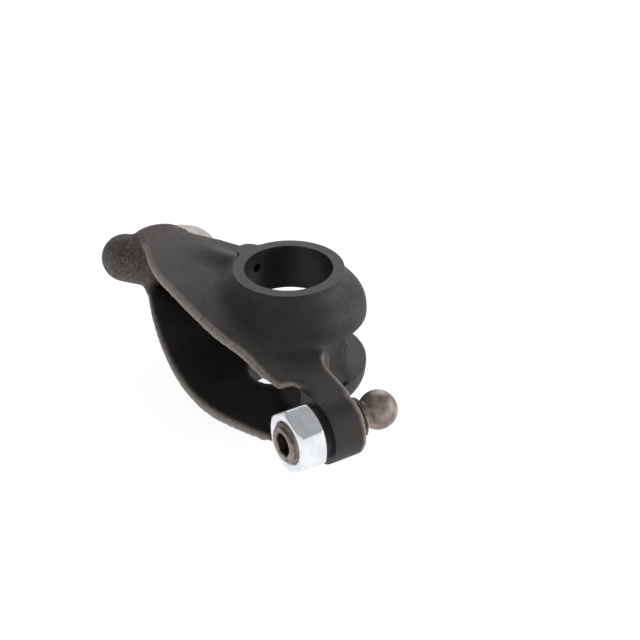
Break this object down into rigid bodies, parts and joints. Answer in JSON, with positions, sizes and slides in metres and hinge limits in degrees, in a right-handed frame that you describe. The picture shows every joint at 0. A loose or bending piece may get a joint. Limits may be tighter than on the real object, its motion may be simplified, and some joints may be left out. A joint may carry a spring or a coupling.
{
  "type": "roller rocker arm",
  "caption": "Cast rocker arm with a divided shaft hub, open bowed side walls, a needle-bearing roller in its nose and a ball-ended adjusting screw with a lock nut.",
  "frame": {"origin": "on the rocker shaft's axis, midway between the two machined ring faces of the hub", "axes": "+Z along the shaft bore, +X towards the adjusting screw, +Y towards the side that works, where the ball and the roller bear"},
  "size_m": [0.1113, 0.0454, 0.0382],
  "materials": {
    "phosphated_casting": "dark phosphated casting",
    "ground_bearing_steel": "ground and polished",
    "pin_steel": "ground",
    "hardened_strip": "hardened strip",
    "oiled_hardened_steel": "hardened and oiled, brownish",
    "zinc_plated_steel": "bright zinc plate",
    "needle_steel": "ground"
  },
  "bodies": {
    "arm": {"rocker_body": "phosphated_casting", "roller_pin": "pin_steel", "upper_thrust_washer": "hardened_strip", "lower_thrust_washer": "hardened_strip"},
    "roller": {"roller": "ground_bearing_steel"},
    "needle_set": {"needle_01": "needle_steel", "needle_02": "needle_steel", "needle_03": "needle_steel", "needle_04": "needle_steel", "needle_05": "needle_steel", "needle_06": "needle_steel", "needle_07": "needle_steel", "needle_08": "needle_steel", "needle_09": "needle_steel", "needle_10": "needle_steel", "needle_11": "needle_steel", "needle_12": "needle_steel", "needle_13": "needle_steel"},
    "screw": {"adjusting_screw": "oiled_hardened_steel"},
    "nut": {"lock_nut": "zinc_plated_steel"}
  },
  "joints": [
    {"name": "roller_spin", "type": "hinge", "parent": "arm", "child": "roller", "pos_m": [-0.0504, -0.0049, 0], "axis": [0, 0, 1], "continuous": true},
    {"name": "needle_roll", "type": "hinge", "parent": "arm", "child": "needle_set", "pos_m": [-0.0504, -0.0049, 0], "axis": [0, 0, 1], "continuous": true},
    {"name": "screw_adjust", "type": "slide", "parent": "arm", "child": "screw", "axis": [0, 1, 0], "range_m": [-0.0025, 0.003]},
    {"name": "lock_nut_turn", "type": "hinge", "parent": "arm", "child": "nut", "pos_m": [0.0396, -0.0214, 0], "axis": [0, 1, 0], "continuous": true}
  ],
  "couplings": [
    {"joint": "needle_roll", "follows": "roller_spin", "ratio": 0.6165}
  ]
}
